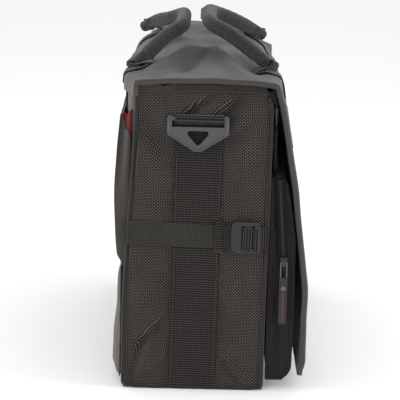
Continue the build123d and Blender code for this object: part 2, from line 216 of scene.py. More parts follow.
def thick_sheet(rows, thickness, wrap=False):
    """A closed slab from rows of points on its outer face: points, faces and UVs in millimetres."""
    n_rows, n_cols = len(rows), len(rows[0])
    outer, inner, uvs = [], [], []
    for r in range(n_rows):
        v_len = 0.0 if r == 0 else v_len + (rows[r][n_cols // 2] - rows[r - 1][n_cols // 2]).length
        u_len = 0.0
        for c in range(n_cols):
            here = rows[r][c]
            left = rows[r][(c - 1) % n_cols] if wrap else rows[r][max(c - 1, 0)]
            right_of = rows[r][(c + 1) % n_cols] if wrap else rows[r][min(c + 1, n_cols - 1)]
            across = right_of - left
            along = rows[min(r + 1, n_rows - 1)][c] - rows[max(r - 1, 0)][c]
            normal = across.cross(along)
            normal = normal.normalized() if normal.length > 1e-9 else Vector((0, 0, 1))
            outer.append(here)
            inner.append(here - normal * thickness)
            u_len += 0 if c == 0 else (here - rows[r][c - 1]).length
            uvs.append((u_len, v_len))
    count = n_rows * n_cols
    faces = []
    for r in range(n_rows - 1):
        for c in range(n_cols if wrap else n_cols - 1):
            d = (c + 1) % n_cols
            a, b, e, f = r * n_cols + c, r * n_cols + d, (r + 1) * n_cols + d, (r + 1) * n_cols + c
            faces.append((a, b, e, f))
            faces.append((count + f, count + e, count + b, count + a))
    for r, flip in ((0, True), (n_rows - 1, False)):
        for c in range(n_cols if wrap else n_cols - 1):
            a, b = r * n_cols + c, r * n_cols + (c + 1) % n_cols
            quad = (a, b, count + b, count + a)
            faces.append(quad[::-1] if flip else quad)
    if not wrap:
        for c, flip in ((0, False), (n_cols - 1, True)):
            for r in range(n_rows - 1):
                a, b = r * n_cols + c, (r + 1) * n_cols + c
                quad = (a, b, count + b, count + a)
                faces.append(quad[::-1] if flip else quad)
    return outer + inner, faces, uvs + uvs


def woven(name, thread, shaded_gap, pitch, turn=45.0, source="Object", roughness=0.8, sheen=0.15, depth=0.35, patch=0.16,
          top=False, patch_scale=16.0, twill=0.0, cover=(-0.3, 0.9)):
    """Woven cloth: raised threads of one colour over a darker gap colour, at a pitch in millimetres, with worn patches.
    The thread colour is the cloth's own; the gap colour is painted shade between the threads.
    """
    material, tree = new_material(name)
    if source == "UV":
        place = node(tree, "ShaderNodeUVMap", uv_map="cloth")
        parts = node(tree, "ShaderNodeSeparateXYZ", {0: place.outputs[0]})
        a, b = parts.outputs[0], parts.outputs[1]
    else:
        place = node(tree, "ShaderNodeTexCoord")
        parts = node(tree, "ShaderNodeSeparateXYZ", {0: place.outputs["Object"]})
        if top:
            a, b = parts.outputs[0], parts.outputs[1]
        else:
            a = node(tree, "ShaderNodeMath", {0: parts.outputs[0], 1: parts.outputs[1]}, operation="ADD").outputs[0]
            b = parts.outputs[2]
    cos, sin = math.cos(math.radians(turn)), math.sin(math.radians(turn))
    waves = []
    pitches = pitch if isinstance(pitch, tuple) else (pitch, pitch)
    for k, (ca, cb) in enumerate(((cos, sin), (-sin, cos))):
        turns = 2 * math.pi / (pitches[k] * MM)
        first = node(tree, "ShaderNodeMath", {0: a, 1: ca * turns}, operation="MULTIPLY")
        total = node(tree, "ShaderNodeMath", {0: b, 1: cb * turns, 2: first.outputs[0]}, operation="MULTIPLY_ADD")
        waves.append(node(tree, "ShaderNodeMath", {0: total.outputs[0]}, operation="SINE").outputs[0])
    dots = node(tree, "ShaderNodeMath", {0: waves[1], 1: 1 - twill, 2: twill}, operation="MULTIPLY_ADD")
    product = node(tree, "ShaderNodeMath", {0: waves[0], 1: dots.outputs[0]}, operation="MULTIPLY")
    height = node(tree, "ShaderNodeMapRange", {"Value": product.outputs[0], "From Min": cover[0], "From Max": cover[1]},
                  interpolation_type="SMOOTHSTEP")
    field = node(tree, "ShaderNodeTexCoord")
    worn = node(tree, "ShaderNodeTexNoise", {
        "Vector": field.outputs["Object"], "Scale": patch_scale, "Detail": 5.0, "Roughness": 0.6})
    fuzz = node(tree, "ShaderNodeTexNoise", {"Vector": field.outputs["Object"], "Scale": 900.0, "Detail": 2.0})
    level = node(tree, "ShaderNodeMapRange", {"Value": worn.outputs["Fac"], "From Min": 0.3, "From Max": 0.7,
                                              "To Min": 1 - patch, "To Max": 1 + patch})
    # Painted shade: the colour falls to the dark gap colour where the weave sinks between threads.
    colour = mix(tree, height.outputs[0], shaded_gap, thread)
    shaded = node(tree, "ShaderNodeVectorMath", {0: colour, 3: level.outputs[0]}, operation="SCALE")
    relief = node(
        tree, "ShaderNodeMath", {0: fuzz.outputs["Fac"], 1: 0.35, 2: height.outputs[0]}, operation="MULTIPLY_ADD")
    bump = node(tree, "ShaderNodeBump", {"Height": relief.outputs[0], "Strength": depth, "Distance": 0.0006})
    finish_material(tree, node(tree, "ShaderNodeBsdfPrincipled", {
        "Base Color": shaded.outputs[0], "Roughness": roughness, "Normal": bump.outputs[0],
        "Sheen Weight": sheen, "Sheen Roughness": 0.5, "Specular IOR Level": 0.2,
    }))
    return material


# The basket weave's raised dots are 2.3 mm apart; the near-black gap colour between them is painted shade.
shell_nylon = woven("ballistic_nylon_shell", "736962", "020202", 2.3, roughness=0.62,
                    depth=0.8, patch=0.18, twill=0.3, cover=(0.0, 0.75))
# The wrap and the flap are one smoother, coated cloth of a lighter warm grey.
coated_nylon = woven("coated_nylon_oxford", "524d49", "363331", 1.8, source="UV", roughness=0.62,
                     sheen=0.12, depth=0.22, patch=0.09)
coated_wrap = woven("coated_nylon_oxford_wrap", "57524e", "393633", 1.8, roughness=0.75,
                    sheen=0.08, depth=0.18, patch=0.07)


def half_depth(x, z, back=True):
    """The body's half depth: the flap drags the top of each end forwards, and the foot spreads a little."""
    end = (abs(x) / HALF_L) ** 6
    drag = -11.0 * smooth(70, 320, z) if back else 2.5 * smooth(40, 300, z)
    pinch = 0.0 if back else 6.0 * smooth(-20, 140, x) * smooth(303, 324, z)
    return HALF_D + end * (drag - (0.0 if back else 2.0)) - pinch


def end_relief(y, z, mirror=False):
    """How far an end panel stands proud, in millimetres."""
    if mirror:
        y = -y * 0.93 + 4
    drawn = smooth(0, 34, END_TOP - z)
    edge = smooth(0, 16, HALF_D + 3 - abs(y))
    out = 0.5 * math.sin(math.pi * min(1, max(0, z / END_TOP))) * edge
    for start, end, width, height in (
        ((-30, 318), (-2, 291), 4.6, 3.4), ((-17, 318), (12, 297), 3.4, -3.0), ((-6, 319), (24, 296), 4.0, 2.6),
        ((-41, 316), (-24, 290), 4.2, -2.6), ((-52, 312), (-34, 284), 5.0, 2.0), ((30, 322), (44, 300), 5.0, -2.6),
        ((46, 318), (30, 284), 6.0, 1.8), ((58, 300), (34, 262), 7.0, -1.6), ((52, 268), (34, 222), 8.0, 1.5),
        ((-36, 262), (-62, 205), 8.0, 1.5), ((50, 60), (66, 12), 4.0, -2.8), ((44, 62), (60, 16), 4.0, 2.6),
        ((34, 88), (60, 62), 4.2, 2.2), ((33, 78), (56, 46), 3.6, -2.4), ((32, 46), (50, 24), 4.5, 2.2),
        ((-27, 44), (-58, 8), 3.2, 2.2), ((-27, 38), (-55, 4), 3.2, -1.8), ((66, 96), (40, 120), 7.0, 1.6),
        ((64, 250), (40, 170), 9.0, 1.3), ((-34, 240), (-64, 290), 8.0, 1.4),
        ((-60, 80), (-36, 112), 8.0, 1.0), ((70, 180), (62, 100), 7.0, 1.0),
    ):
        out += 1.4 * ridge(y, z, start, end, width * 1.45, height) * drawn ** 0.3
    calm = 1 - 0.75 * math.exp(-(((z - 170) / 24) ** 2))
    seed = 7.0 if mirror else 1.0
    out += 1.3 * wander(y * 0.03 + z * 0.01, z * 0.02, seed) * edge * calm
    out += 0.7 * wander(y * 0.07, z * 0.05 - y * 0.04, seed + 3) * edge * calm
    return out * smooth(-1, 12, END_TOP - z) * smooth(-2, 10, z) * edge


def end_x(y, z, mirror=False):
    """The outer face of an end panel."""
    x = HALF_L + end_relief(y, z, mirror) - 0.6
    return x if mirror else -x


def rim_height(x, y):
    """The top edge of the body: end panels stand highest, with a dip in the near one where it isn't bound."""
    at_end = smooth(196, 204, abs(x))
    side_top = 319.0 + 8.0 * smooth(-60, 60, y)
    dip = 2.4 * math.exp(-(((y - 36) / 6.0) ** 2)) * (1 if x < 0 else 0.4)
    curl = (1.6 if y > 0 else 4.0) * smooth(54, 76, abs(y))
    return side_top + at_end * (END_TOP - side_top - dip - curl)


def outline(step_end=2.6, step_side=9.0, corner=6.0):
    """The body's plan, clockwise from the near front corner: ('end' or 'side', position) pairs."""
    plan = []
    n_end = int(2 * (HALF_D - corner) / step_end)
    n_side = int(2 * (HALF_L - corner) / step_side)
    for i in range(n_end + 1):
        plan.append(("near", -1 + 2 * i / n_end))
    for i in range(1, 5):
        plan.append(("near_back", i / 5))
    for i in range(n_side + 1):
        plan.append(("back", -1 + 2 * i / n_side))
    for i in range(1, 5):
        plan.append(("far_back", i / 5))
    for i in range(n_end + 1):
        plan.append(("far", 1 - 2 * i / n_end))
    for i in range(1, 5):
        plan.append(("far_front", i / 5))
    for i in range(n_side + 1):
        plan.append(("front", 1 - 2 * i / n_side))
    for i in range(1, 5):
        plan.append(("near_front", i / 5))
    return plan


def body_point(place, z, corner=6.0, inset=0.0):
    """A point of the body's outer face at a height, moved inwards by an inset."""
    kind, t = place
    lx, r = HALF_L - corner, corner
    if kind in ("near", "far"):
        sign = -1 if kind == "near" else 1
        rear, fore = half_depth(HALF_L, z), half_depth(HALF_L, z, False)
        y = (rear - fore) / 2 + t * ((rear + fore) / 2 - corner)
        return Vector((end_x(y, z, kind == "far") - sign * inset, y, z))
    if kind in ("back", "front"):
        x = t * lx
        deep = half_depth(x, z, kind == "back")
        sag = 1.2 * wander(x * 0.012, z * 0.014, 3.0 if kind == "back" else 9.0)
        sag *= smooth(0, 30, END_TOP - z) * smooth(0, 30, HALF_L - abs(x)) * smooth(0, 20, z)
        y = deep - abs(sag) - inset
        return Vector((x, y if kind == "back" else -y, z))
    sign_x = -1 if "near" in kind else 1
    sign_y = 1 if "back" in kind else -1
    turn = math.pi / 2 * t
    deep = half_depth(HALF_L, z, sign_y > 0)
    if kind in ("near_back", "far_front"):
        dx, dy = math.cos(turn), math.sin(turn)
    else:
        dx, dy = math.sin(turn), math.cos(turn)
    return Vector((sign_x * (lx - 0.6 + (r - inset) * dx), sign_y * (deep - corner + (r - inset) * dy), z))


plan = outline()
levels = [0.4, 1.2, 2.6, 5.0] + [5.0 + 323.0 * i / 110 for i in range(1, 111)]
rows = []
for level in levels:
    share = level / levels[-1]
    row = []
    for place in plan:
        flat = body_point(place, level)
        z = level * (rim_height(flat.x, flat.y) / levels[-1])
        tuck = 2.2 * (1 - smooth(0, 3.5, level))
        row.append(body_point(place, z, inset=tuck))
    rows.append(row[::-1])
verts, faces, _ = thick_sheet(rows, 3.0, wrap=True)
body_shell = build("body_shell", verts, faces, shell_nylon)
# The long sides belong to the lighter wrap, which the seams at the corners join to the end panels; only the back side
# is given it here.
body_shell.data.materials.append(coated_wrap)
for poly in body_shell.data.polygons:
    if abs(poly.center.x) < 0.2035 and abs(poly.normal.y) > 0.75 and poly.center.y > 0:
        poly.material_index = 1
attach(body_shell, "bag_body")
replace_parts(body_shell, "front_panel", "back_panel", "end_panel_left", "end_panel_right")

base_rows = []
for j in range(13):
    y = -74.0 + 148.0 * j / 12
    base_rows.append([Vector((-202 + 404 * i / 30, -y, 0.1 + 0.4 * abs(wander(i * 0.3, j * 0.4, 2)))) for i in range(31)])
verts, faces, _ = thick_sheet(base_rows, 2.6)
base_nylon = woven("ballistic_nylon_base", "4a4442", "1f1c1b", 2.3, turn=45, top=True)
base_cloth = build("base_cloth", verts, faces, base_nylon)
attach(base_cloth, "bag_body")
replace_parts(base_cloth, "bottom_panel")

# ---------------------------------------------------------------- Lining and base board
# A loose red nylon bag hangs inside the shell, sewn in at the rim, over a stiff pressed board.

red_nylon = woven("red_nylon_taffeta", "a3302d", "6f1c1c", 1.2, turn=0, roughness=0.5, sheen=0.2, depth=0.12, patch=0.1)
rows = []
for k in range(41):
    z = 7.0 + 310.0 * k / 40
    row = []
    for place in outline(9.0, 12.0, 8.0):
        ripple = 0.9 * wander(place[1] * 5, z * 0.03, len(place[0]))
        row.append(body_point(place, min(z, 320), 8.0, inset=4.6 + abs(ripple)))
    rows.append(row[::-1])
verts, faces, _ = thick_sheet(rows, 0.8, wrap=True)
lining_wall = build("lining_wall", verts, faces, red_nylon)
floor_rows = [[Vector((-200 + 400 * i / 40, -72.5 + 145 * j / 16, 7.0 + 0.8 * wander(i * 0.4, j * 0.5, 4)))
               for i in range(41)] for j in range(17)]
verts, faces, _ = thick_sheet(floor_rows, 0.8)
floor_nylon = woven("red_nylon_taffeta_floor", "a3302d", "6f1c1c", 1.2, turn=0, top=True, depth=0.12)
lining_floor = build("lining_floor", verts, faces, floor_nylon)
for piece in (lining_wall, lining_floor):
    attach(piece, "bag_body")
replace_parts(lining_wall, "main_lining")

board = mottled("pressed_fibre_board", "1b1b1a", "2a2927", 300.0, 3.0, 0.7)


def dress(name, material):
    """Gives a CAD node its material."""
    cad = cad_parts[name]
    if not cad.material_slots:
        cad.data.materials.append(material)
    for place in cad.material_slots:
        place.material = material


dress("base_board", board)

# ---------------------------------------------------------------- Stitching
# Bonded nylon thread, 0.6 mm, in lockstitch about 3.2 mm long; each stitch dips at both of its ends.


def bead_tree(name, solid):
    """Geometry nodes: lays one small solid along each line at a pitch, turned to the line and to a facing side."""
    tree = bpy.data.node_groups.new(name, "GeometryNodeTree")
    face = tree.interface
    face.new_socket("Lines", in_out="INPUT", socket_type="NodeSocketGeometry")
    for label, value in (("Pitch", 0.0032), ("Long", 0.0026), ("Wide", 0.0007), ("High", 0.0005)):
        face.new_socket(label, in_out="INPUT", socket_type="NodeSocketFloat").default_value = value
    face.new_socket("Facing", in_out="INPUT", socket_type="NodeSocketVector")
    face.new_socket("Finish", in_out="INPUT", socket_type="NodeSocketMaterial")
    face.new_socket("Beads", in_out="OUTPUT", socket_type="NodeSocketGeometry")
    given = node(tree, "NodeGroupInput")
    curve = node(tree, "GeometryNodeMeshToCurve", {0: given.outputs["Lines"]})
    even = node(
        tree, "GeometryNodeResampleCurve", {"Curve": curve.outputs[0], "Length": given.outputs["Pitch"]}, mode="LENGTH")
    tangent = node(tree, "GeometryNodeInputTangent")
    first = node(tree, "FunctionNodeAlignRotationToVector", {"Vector": tangent.outputs[0]}, axis="X")
    second = node(
        tree, "FunctionNodeAlignRotationToVector",
        {"Rotation": first.outputs[0], "Vector": given.outputs["Facing"]}, axis="Z", pivot_axis="X",
    )
    if solid == "thread":
        bead = node(tree, "GeometryNodeMeshIcoSphere", {"Radius": 0.5, "Subdivisions": 1})
    else:
        bead = node(tree, "GeometryNodeMeshCube")
    size = node(tree, "ShaderNodeCombineXYZ", {k: given.outputs[side] for k, side in enumerate(("Long", "Wide", "High"))})
    spread = node(tree, "GeometryNodeInstanceOnPoints", {
        "Points": even.outputs[0], "Instance": bead.outputs[0], "Rotation": second.outputs[0], "Scale": size.outputs[0],
    })
    real = node(tree, "GeometryNodeRealizeInstances", {0: spread.outputs[0]})
    done = node(tree, "GeometryNodeSetMaterial", {"Geometry": real.outputs[0], "Material": given.outputs["Finish"]})
    node(tree, "NodeGroupOutput", {0: done.outputs[0]})
    return tree


def beads(name, lines, group, material, facing=(1, 0, 0), **sizes):
    """A plain mesh of beads along lines of points in millimetres. Sizes are the tree's inputs, in millimetres."""
    verts, edges = [], []
    for line in lines:
        start = len(verts)
        verts += [tuple(c * MM for c in p) for p in line]
        edges += [(start + i, start + i + 1) for i in range(len(line) - 1)]
    mesh = bpy.data.meshes.new(name + "_lines")
    mesh.from_pydata(verts, edges, [])
    carrier = link_object(name + "_lines", mesh)
    modifier = carrier.modifiers.new("beads", "NODES")
    modifier.node_group = group
    values = {**{k: v * MM for k, v in sizes.items()}, "Facing": facing, "Finish": material}
    for item in group.interface.items_tree:
        if item.in_out == "INPUT" and item.name in values:
            modifier[item.identifier] = values[item.name]
    bpy.context.view_layer.update()
    graph = bpy.context.evaluated_depsgraph_get()
    made = bpy.data.meshes.new_from_object(carrier.evaluated_get(graph))
    bpy.data.objects.remove(carrier)
    made.polygons.foreach_set("use_smooth", [True] * len(made.polygons))
    if not made.materials:
        made.materials.append(material)
    return link_object(name, made)


thread_rows = bead_tree("stitch_rows", "thread")
thread, tree = new_material("bonded_nylon_thread")
twist = node(tree, "ShaderNodeTexWave", {"Scale": 900.0, "Distortion": 2.0})
finish_material(tree, node(tree, "ShaderNodeBsdfPrincipled", {
    "Base Color": mix(tree, twist.outputs["Fac"], "1b1918", "35322f"), "Roughness": 0.55, "Sheen Weight": 0.2}))
STITCH = {"Pitch": 3.2, "Long": 2.7, "Wide": 0.7, "High": 0.6}


def both_ends(name, make, body="bag_body", twin=None, **options):
    """Makes a piece at the near end and its mirror image at the far end, each riding on its body."""
    made = []
    for label, sign, rides in (("left", 1, body), ("right", -1, twin or body)):
        piece = make(f"{name}_{label}", sign)
        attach(piece, rides)
        made.append(piece)
    return made


def sweep(name, path, ring, hint, material, period=None):
    """A closed solid swept along a path. ring(i) gives (w, n, u) points round it: w along the hint (one, or one for
    each point of the path), n across it, u its place in the weave."""
    verts, uvs, faces = [], [], []
    count, run = 0, 0.0
    for i, here in enumerate(path):
        ahead = (path[min(i + 1, len(path) - 1)] - path[max(i - 1, 0)]).normalized()
        wide = hint[i] if isinstance(hint, list) else hint
        wide = wide - ahead * wide.dot(ahead)
        wide.normalize()
        out = wide.cross(ahead)
        run += (here - path[i - 1]).length if i else 0.0
        points = ring(i)
        count = len(points)
        for w, n, u in points:
            verts.append(here + wide * w + out * n)
            uvs.append((u, run))
    for i in range(len(path) - 1):
        for k in range(count):
            m = (k + 1) % count
            faces.append((i * count + k, i * count + m, (i + 1) * count + m, (i + 1) * count + k))
    faces.append(tuple(range(count - 1, -1, -1)))
    faces.append(tuple(range((len(path) - 1) * count, len(path) * count)))
    return build(name, verts, faces, material, uvs, period=period)


def band(width, thick, slices=8, edge=0.35):
    """The section of a strap: flat faces with softened edges."""
    half, t = width / 2, thick / 2
    front = [(-half + width * k / slices, t, -half + width * k / slices) for k in range(slices + 1)]
    front = [(w, n * (1 - edge) if k in (0, slices) else n, u) for k, (w, n, u) in enumerate(front)]
    return front + [(w, -n, u) for w, n, u in reversed(front)]


def eased(points, rounds=2):
    """A line with its corners cut round."""
    points = [Vector(p) for p in points]
    for _ in range(rounds):
        cut = [points[0]]
        for a, b in zip(points, points[1:]):
            cut += [a.lerp(b, 0.25), a.lerp(b, 0.75)]
        points = cut + [points[-1]]
    return points


def round_ring(radius, sides=12, squash=1.0):
    return [(radius * math.cos(2 * math.pi * k / sides), radius * squash * math.sin(2 * math.pi * k / sides),
             2 * math.pi * radius * k / sides) for k in range(sides)]


# ---------------------------------------------------------------- Rim binding and corner piping
# Folded nylon tape closes the raw top edge of each end panel; a corded piping covers its side and bottom seams.

tape_nylon = woven("binding_tape_nylon", "33302e", "181716", 1.5, turn=0, source="UV", roughness=0.7, depth=0.3)


def rim_binding(name, sign):
    rows = []
    for i in range(52):
        y = 22.0 - 92.0 * i / 51
        crest = rim_height(-205, y) + 1.0 + 0.5 * wander(y * 0.08, 1, 5)
        swell = end_relief(y, crest - 9, sign < 0)
        row = []
        for x, z, share in ((-204.8, -9.6, 1), (-205.9, -8.6, 0.9), (-206.3, -5, 0.7), (-206.0, -1.8, 0.4),
                            (-205.0, -0.3, 0.2), (-203.6, 0.0, 0), (-202.4, -1.0, 0), (-201.6, -4, 0), (-201.4, -8.5, 0)):
            row.append(Vector((sign * (x - swell * share), y, crest + z)))
        rows.append(row[::-1] if sign > 0 else row)
    verts, faces, uvs = thick_sheet(rows, 0.8)
    return build(name, verts, faces, tape_nylon, uvs)


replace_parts(both_ends("rim_binding", rim_binding, slot="binding")[0], "end_bindings")


def corner_piping(name, sign):
    path = []
    for y0 in (1, -1):
        leg = [(y0 * (half_depth(205, z, y0 > 0) - 2.0), z) for z in range(8, 317, 6)]
        path += leg[::-1] if y0 > 0 else leg
        if y0 > 0:
            path += [(71, 3.4), (60, 2.2)]
            path += [(y, 2.1 + 0.5 * wander(y * 0.06, 4, 1)) for y in range(50, -55, -8)]
            path += [(-60, 2.2), (-71, 3.4)]
    path = [Vector((sign * -204.1, y, z)) for y, z in path]
    return sweep(name, path, lambda i: round_ring(1.9), X_AXIS, tape_nylon, period=11.9)


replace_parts(both_ends("corner_piping", corner_piping, slot="binding")[0], "end_pipings")

# ---------------------------------------------------------------- End webbing and ring
# 50 mm nylon webbing runs up each end panel and is looped round the bar of a moulded acetal ring.

webbing = woven("ribbed_nylon_webbing", "3e3733", "020202", (2.6, 3.2), turn=90, twill=0.6, source="UV",
                roughness=0.8, sheen=0.2, depth=0.9, patch=0.14)


def end_strap(name, sign):
    path = [(-205.4 - max(end_relief(y, z, sign < 0) for y in (-20, -10, 0, 10, 20)), 0.0, z) for z in range(3, 282, 3)]
    path += [(-207.2, 0, 284), (-206.8, 0, 287)]
    turns = [math.radians(-20 + 29 * k) for k in range(11)]
    path += [(-210 + 3.3 * math.cos(a), 0, 293.5 + 3.3 * math.sin(a)) for a in turns]
    path += [(-208.4, 0, 286.6)]
    path = [Vector((sign * x, y - 0.011 * (z - 160), z)) for x, y, z in path]
    return sweep(name, path, lambda i: band(50 - 0.5 * math.sin(i * 0.35), 1.5, 14), Y_AXIS, webbing)


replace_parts(both_ends("end_webbing", end_strap, slot="webbing")[0], "end_webbing_left", "end_webbing_right")

plastic, tree = new_material("moulded_acetal")
grain = node(tree, "ShaderNodeTexNoise", {"Scale": 700.0, "Detail": 3.0})
scuff = node(tree, "ShaderNodeTexNoise", {"Scale": 60.0, "Detail": 5.0, "Roughness": 0.7})
shine = node(tree, "ShaderNodeMapRange", {"Value": scuff.outputs["Fac"], "To Min": 0.3, "To Max": 0.5})
pebble = node(tree, "ShaderNodeBump", {"Height": grain.outputs["Fac"], "Strength": 0.2, "Distance": 0.0002})
finish_material(tree, node(tree, "ShaderNodeBsdfPrincipled", {
    "Base Color": mix(tree, scuff.outputs["Fac"], "343437", "505054"), "Roughness": shine.outputs[0],
    "Normal": pebble.outputs[0]}))
dark_plastic, tree = new_material("moulded_acetal_dark")
scuff = node(tree, "ShaderNodeTexNoise", {"Scale": 60.0, "Detail": 5.0, "Roughness": 0.7})
finish_material(tree, node(tree, "ShaderNodeBsdfPrincipled", {
    "Base Color": mix(tree, scuff.outputs["Fac"], "232325", "37373a"), "Roughness": 0.4, "Specular IOR Level": 0.25}))
for end in ("left", "right"):
    dress(f"strap_ring_{end}", plastic)
    dress(f"ladder_lock_{end}", dark_plastic)


def ring_rim(name, sign):
    """The raised rim moulded round the ring's lower edge and its eye."""
    half = [(30.4, 292), (30.4, 278.6), (27, 275.6), (5, 261.6), (0, 260.6)]
    outer = eased(half + [(-y, z) for y, z in half[-2::-1]])
    path = [Vector((sign * -212.0, y, z)) for y, z in outer]
    return sweep(name, path, lambda i: round_ring(0.9, 8), X_AXIS, plastic)


both_ends("ring_rim", ring_rim, "ring_left", "ring_right", slot="moulded_plastic")

# ---------------------------------------------------------------- Side strap, keeper and ladder lock
# A 25 mm strap crosses each end panel, passes a sewn keeper and threads a ladder lock held by a folded anchor.

basket = woven("basket_weave_webbing", "4d4b45", "0f0f0d", (2.2, 2.6), turn=90, twill=0.3, source="UV",
               roughness=0.8, sheen=0.15, depth=0.8, patch=0.12)


def lean(y):
    """The strap's drop in height across the end panel."""
    return 0.024 * (y - 15)


def side_strap(name, sign):
    path = [(-206.6, 76, 169.5), (-206.8, 72, 169.5)]
    for y in range(68, -46, -3):
        path.append((-207.4 - 0.5 * smooth(30, 20, abs(y)) - 0.4 * wander(y * 0.05, 3, sign), y, 169.5))
    path += [(-208.6, -48, 169.5), (-209.4, -50, 169.5)]
    path = [Vector((sign * x, y, z + lean(y))) for x, y, z in path]
    return sweep(name, path, lambda i: band(25, 1.5, 8), Z_AXIS, basket)


def keeper(name, sign):
    path = eased([(-206.0, -23.5, 151.5), (-207.2, -23.5, 153.5), (-209.3, -23.5, 156), (-209.5, -23.5, 169),
                  (-209.3, -23.5, 183), (-207.2, -23.5, 185.5), (-206.0, -23.5, 187.5)])
    path = [Vector((sign * p.x, p.y, p.z + lean(-23))) for p in path]
    return sweep(name, path, lambda i: band(9.5, 1.1, 4), Y_AXIS, webbing)


def strap_thread(name, sign):
    path = eased([(-209.4, -49.0, 169.5), (-212.6, -49.6, 169.5), (-214.1, -52, 169.5), (-214.2, -56, 169.5),
                  (-212.4, -58.6, 169.5), (-209.6, -58.6, 169.5)], 3)
    path = [Vector((sign * p.x, p.y, p.z + lean(p.y))) for p in path]
    return sweep(name, path, lambda i: band(24.4, 1.2, 8), Z_AXIS, webbing)


def lock_anchor(name, sign):
    path = [(-205.8, -76), (-206.4, -72), (-207.0, -69), (-208.2, -66.6)]
    turns = [math.radians(-50 - 27 * k) for k in range(11)]
    path += [(-211 + 3.1 * math.cos(a), -63.5 + 3.1 * math.sin(a)) for a in turns]
    path = [Vector((sign * x, y, 169.5 + lean(y))) for x, y in path]
    return sweep(name, path, lambda i: band(25, 1.2, 8), Z_AXIS, webbing)


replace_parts(both_ends("side_strap", side_strap, slot="webbing")[0], "side_strap_left", "side_strap_right")
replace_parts(both_ends("strap_keeper", keeper, slot="binding")[0], "strap_keepers")
lock_threads = both_ends("lock_thread", strap_thread, "lock_left", "lock_right", slot="webbing")
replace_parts(lock_threads[0], "strap_thread_left", "strap_thread_right")
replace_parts(both_ends("lock_anchor", lock_anchor, slot="webbing")[0], "lock_anchors")

for sign, label in ((1, "left"), (-1, "right")):
    seam_lines = []
    for y in (-22.3, 22.3):
        seam_lines.append([(-206.4 - max(end_relief(v, z, sign < 0) for v in (-20, 0, 20)), y - 0.011 * (z - 160), z)
                           for z in range(10, 262, 4)])
    seam_lines.append([(-208.7, 71.5, 162.5 + 1.9 * k) for k in range(11)])
    seam_lines = [[(sign * p[0], p[1], p[2]) for p in line] for line in seam_lines]
    rim = [[(sign * -207.0, y, rim_height(-205, y) - 6.4) for y in range(20, -69, -3)]]
    stitches = beads(f"end_stitches_{label}", seam_lines + rim, thread_rows, thread, (-sign, 0, 0), **STITCH)
    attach(stitches, "bag_body")

# ---------------------------------------------------------------- Front bellows pocket
# A gusseted pocket of the dark nylon, soft enough for its ends to fold in like an accordion, piped along its front edges.

pocket_nylon = woven("pocket_nylon", "36312f", "131111", 1.9, roughness=0.72, depth=0.35, patch=0.12)


def pocket_front(z):
    """How far forward the pocket stands at a height."""
    shape = ((10, 79), (11, 93), (14, 99.5), (22, 104), (60, 105), (165, 104.6), (200, 99), (225, 94.2),
             (227.5, 92), (228.4, 79))
    for (z0, y0), (z1, y1) in zip(shape, shape[1:]):
        if z <= z1:
            return y0 + (y1 - y0) * max(0.0, (z - z0) / (z1 - z0))
    return 79


levels = [10, 10.4, 11, 12, 14, 18, 22] + [22 + (225 - 22) * k / 54 for k in range(1, 55)] + [226.4, 227.5, 228, 228.4]
rows = []
for z in levels:
    front_y = pocket_front(z)
    row = []
    slack = smooth(12, 40, z) * smooth(228, 205, z) if z < 228 else 0
    for k in range(15):
        share = k / 14
        fold = -3.6 * math.exp(-(((share - 0.34) / 0.13) ** 2)) + 1.0 * math.exp(-(((share - 0.62) / 0.16) ** 2))
        wave = 1.1 * wander(share * 2.2, z * 0.03, 6)
        calm = 0.25 + 0.75 * smooth(228, 190, z) if z > 190 else 1
        row.append(Vector((-195.2 - (fold + wave) * smooth(12, 60, z) * calm, -77 - (front_y - 77) * share, z)))
    for k in range(1, 44):
        share = k / 44
        x = -195 + 390 * share
        swell = 1.4 * math.sin(math.pi * share) + 1.0 * wander(x * 0.013, z * 0.02, 12)
        row.append(Vector((x, -front_y - swell * smooth(14, 60, z) * (1 - smooth(190, 226, z)), z)))
    for k in range(15):
        share = 1 - k / 14
        fold = -3.2 * math.exp(-(((share - 0.36) / 0.13) ** 2))
        x = 195.2 + fold * smooth(12, 60, z) * (1 - smooth(190, 227, z))
        row.append(Vector((x, -77 - (front_y - 77) * share, z)))
    rows.append(row)
verts, faces, _ = thick_sheet(rows, 1.6)
pocket_shell = build("pocket_shell", verts, faces, pocket_nylon)
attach(pocket_shell, "bag_body")
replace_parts(pocket_shell, "pocket_gusset_left", "pocket_gusset_right", "pocket_gusset_bottom", "pocket_gusset_top",
            "pocket_face")


def pocket_piping(name, sign):
    heights = [11.5, 13, 16, 20, 24] + list(range(30, 224, 6))
    path = [Vector((sign * -195.6, -(pocket_front(z) - 0.6), z)) for z in heights]
    return sweep(name, path, lambda i: round_ring(1.5, 10), X_AXIS, tape_nylon, period=9.4)


def pocket_foot(name, sign):
    path = [Vector((sign * -195.4, y, 10.6 + 0.03 * abs(y + 84))) for y in range(-78, -97, -3)]
    return sweep(name, path, lambda i: round_ring(1.5, 10), X_AXIS, tape_nylon, period=9.4)


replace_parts(both_ends("pocket_piping", pocket_piping, slot="binding")[0], "pocket_pipings")
both_ends("pocket_foot_piping", pocket_foot, slot="binding")

# ---------------------------------------------------------------- Pocket zip
# A nylon coil zip of No. 5 size on a woven tape; its slider carries a wire bail and a rubber tab with a red line.

